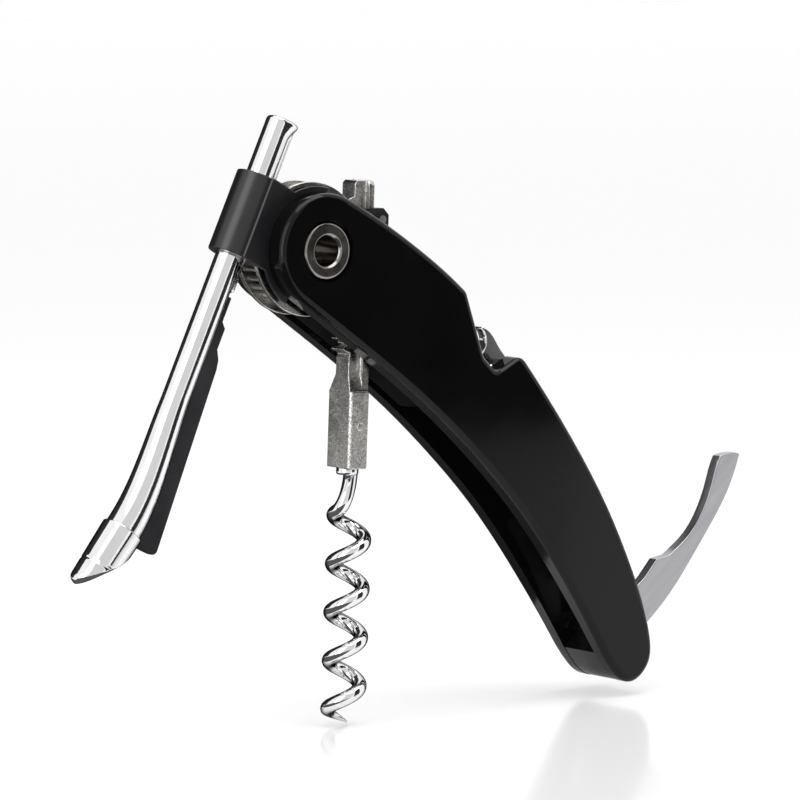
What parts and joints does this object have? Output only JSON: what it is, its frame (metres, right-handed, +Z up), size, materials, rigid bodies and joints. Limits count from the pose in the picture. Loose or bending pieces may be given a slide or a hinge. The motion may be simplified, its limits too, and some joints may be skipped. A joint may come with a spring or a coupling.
{
  "type": "lever corkscrew",
  "caption": "Lever corkscrew with a rack-driven worm, a swinging support rod, a cap lifter and a folding foil knife.",
  "frame": {"origin": "centre of the hollow pivot, on the plane of symmetry", "axes": "+Z up along the worm's axis, +X from the pivot to the handle's tail, +Y along the pivot towards the back scale"},
  "size_m": [0.1752, 0.0196, 0.1267],
  "materials": {
    "gloss_black": "gloss",
    "satin_black": "satin",
    "nickel": "satin",
    "chrome": "mirror",
    "satin_steel": "satin",
    "dark_steel": "matte"
  },
  "bodies": {
    "guide": {"guide_block": "satin_black", "guide_link_front": "satin_black", "guide_link_back": "satin_black", "guide_pins": "satin_steel"},
    "handle": {"pinion": "nickel", "pinion_flange_front": "nickel", "pinion_flange_back": "nickel", "pivot_tube": "satin_steel", "pivot_ring": "satin_steel", "front_scale": "gloss_black", "back_scale": "gloss_black", "front_liner": "satin_black", "back_liner": "satin_black", "spine_filling": "satin_black", "tail_block": "satin_black", "cap_lifter": "chrome", "scale_pins": "satin_steel", "knife_pin": "satin_steel", "knife_spacer_front": "satin_steel", "knife_spacer_back": "satin_steel", "tail_liner_front": "satin_steel", "tail_liner_back": "satin_steel", "front_filling": "satin_black"},
    "carrier": {"worm_carrier": "nickel", "worm": "chrome", "worm_pin": "nickel"},
    "collar": {"rod_collar": "satin_black"},
    "rod": {"support_rod": "chrome", "rod_foot": "chrome", "stop_fin": "dark_steel"},
    "knife": {"foil_knife": "satin_steel"}
  },
  "joints": [
    {"name": "handle_swing", "type": "hinge", "parent": "guide", "child": "handle", "pos_m": [0, 0, 0], "axis": [0, -1, 0], "range_deg": [-37, 90]},
    {"name": "rack_lift", "type": "slide", "parent": "guide", "child": "carrier", "axis": [0, 0, 1], "range_m": [-0.0074, 0.0178]},
    {"name": "arm_swing", "type": "hinge", "parent": "guide", "child": "collar", "pos_m": [0, 0, 0], "axis": [0, -1, 0], "range_deg": [-22, 33]},
    {"name": "arm_extend", "type": "slide", "parent": "collar", "child": "rod", "axis": [-0.3955, 0, -0.9184], "range_m": [-0.004, 0.009]},
    {"name": "knife_fold", "type": "hinge", "parent": "handle", "child": "knife", "pos_m": [0.08677, 0, -0.0844], "axis": [0, -1, 0], "range_deg": [-4, 70]}
  ],
  "couplings": [
    {"joint": "rack_lift", "follows": "handle_swing", "m_per_rad": 0.0112}
  ]
}
